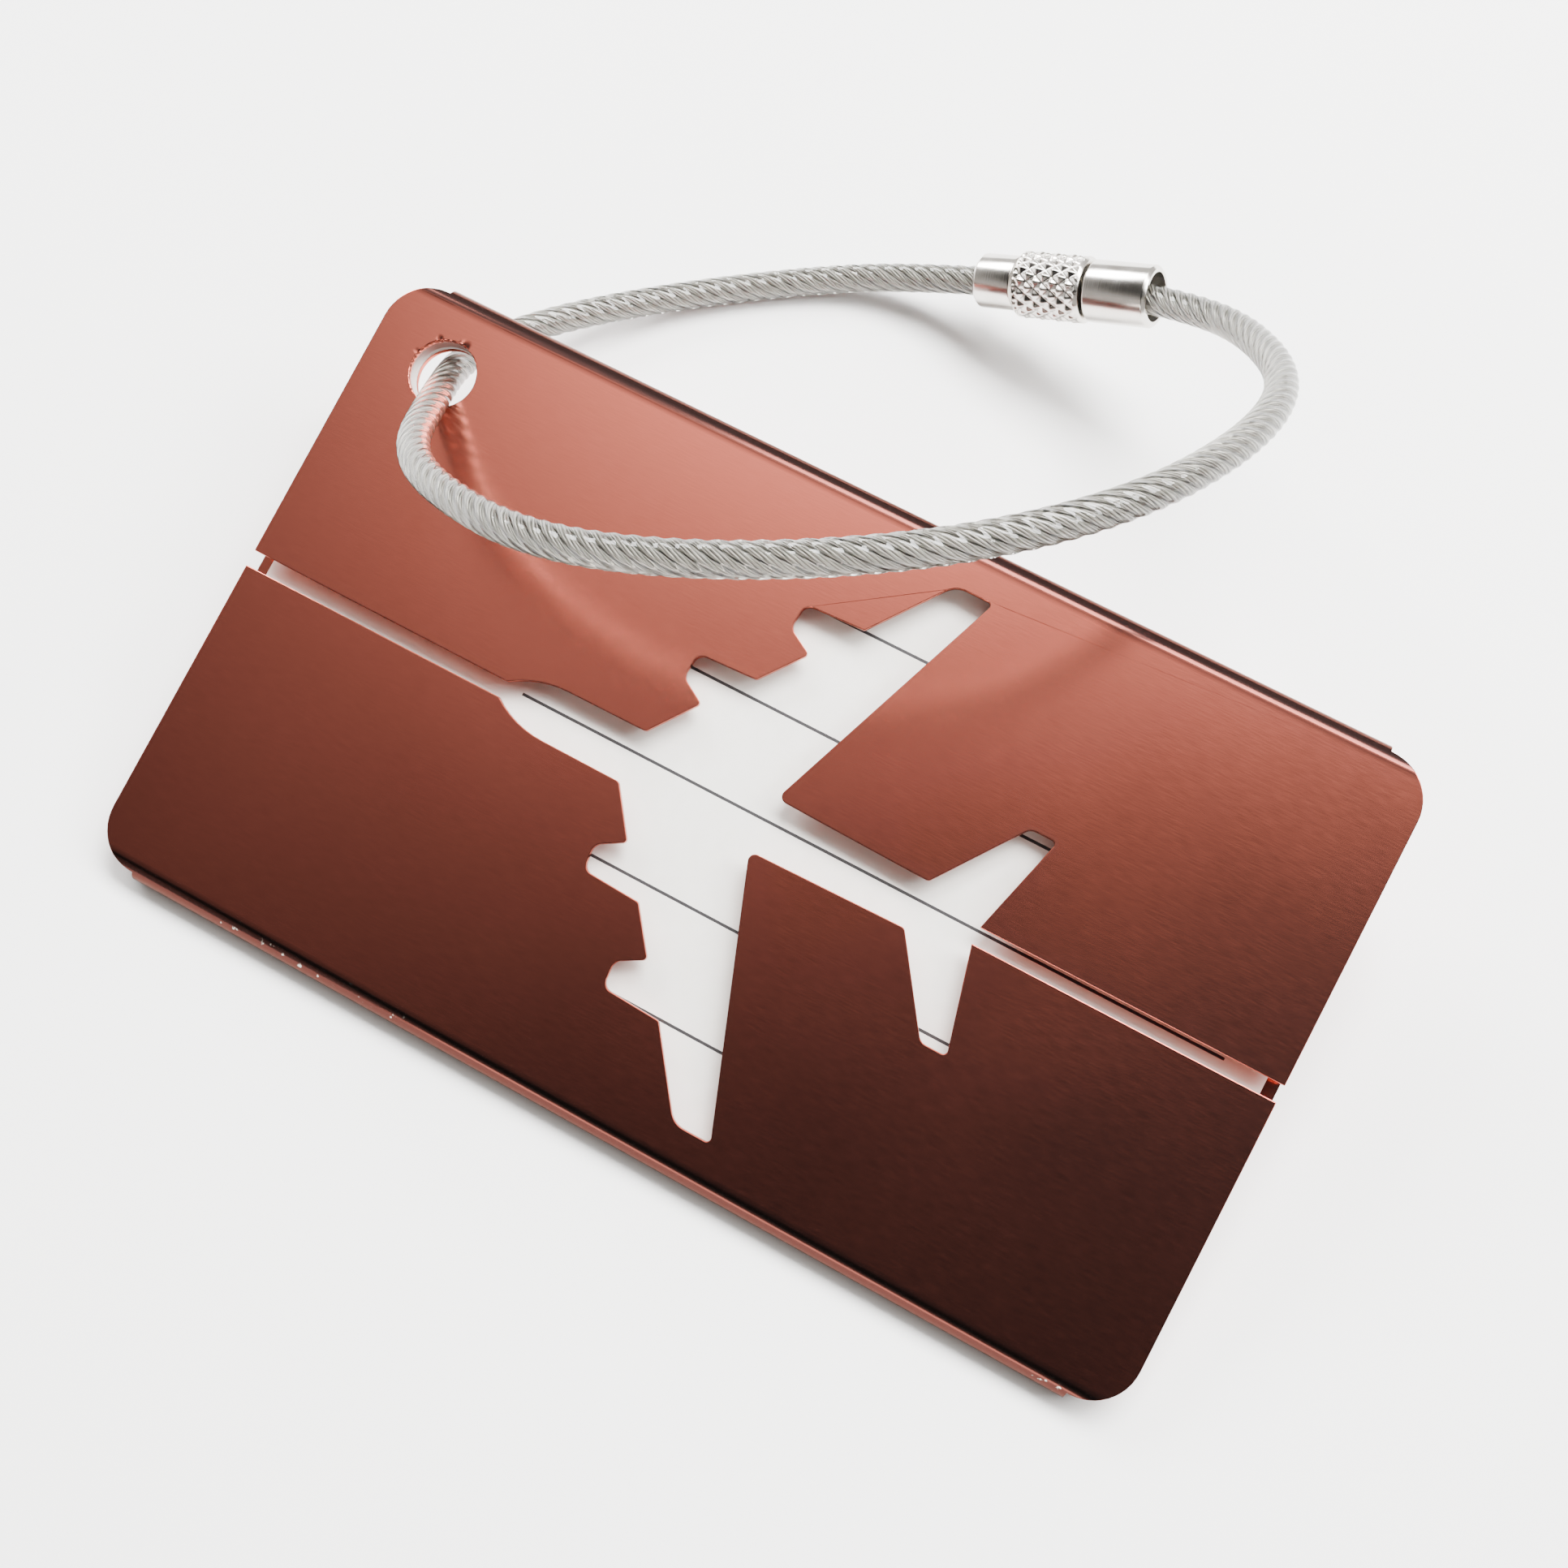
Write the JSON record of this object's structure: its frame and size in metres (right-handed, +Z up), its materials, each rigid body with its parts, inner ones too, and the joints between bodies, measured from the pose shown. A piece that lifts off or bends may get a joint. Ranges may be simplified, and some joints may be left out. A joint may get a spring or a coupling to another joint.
{
  "type": "luggage tag",
  "caption": "Folded aluminium luggage tag with an airliner cut-out, a name card inside and a wire-rope ring with a screw clasp.",
  "frame": {"origin": "on the floor, under the middle of the leaning sleeve: the bottom centre of the box of sleeve and card", "axes": "+X along the tag's length away from the ring's hole, +Y level and across the tag towards its holed edge, +Z up; the tag's face leans back by 13.6 degrees about X"},
  "size_m": [0.08, 0.0745, 0.0375],
  "materials": {
    "anodised_sheet": "satin copper-red anodising",
    "card": "matt off-white with thin ruled lines",
    "wire_rope": "bright stranded wire",
    "clear_coat": "clear glossy plastic",
    "nickel": "bright nickel plate over turned brass",
    "knurled_nickel": "bright nickel plate, diamond knurl"
  },
  "bodies": {
    "tag": {"sleeve": "anodised_sheet"},
    "card": {"name_card": "card"},
    "ring": {"wire_rope_stud_side": "wire_rope", "clear_coat_stud_side": "clear_coat", "stud_ferrule": "nickel"},
    "ring_free_end": {"wire_rope_swivel_side": "wire_rope", "clear_coat_swivel_side": "clear_coat", "swivel_ferrule": "nickel"},
    "nut": {"knurled_nut": "knurled_nickel"}
  },
  "joints": [
    {"name": "card_play", "type": "slide", "parent": "tag", "child": "card", "axis": [1, 0, 0], "range_m": [-0.0004, 0.0004]},
    {"name": "ring_swing", "type": "hinge", "parent": "tag", "child": "ring", "pos_m": [-0.034, 0.0175, 0.0108], "axis": [0, -0.2353, 0.9719], "range_deg": [-18, 270]},
    {"name": "clasp_open", "type": "slide", "parent": "ring", "child": "ring_free_end", "axis": [0.9097, 0.0685, 0.4097], "range_m": [0, 0.0035]},
    {"name": "nut_spin", "type": "hinge", "parent": "ring_free_end", "child": "nut", "pos_m": [0.00043, 0.04827, 0.00685], "axis": [0.9097, 0.0685, 0.4097], "range_deg": [0, 2530]}
  ],
  "couplings": [
    {"joint": "nut_spin", "follows": "clasp_open", "rad_per_m": 12566}
  ]
}
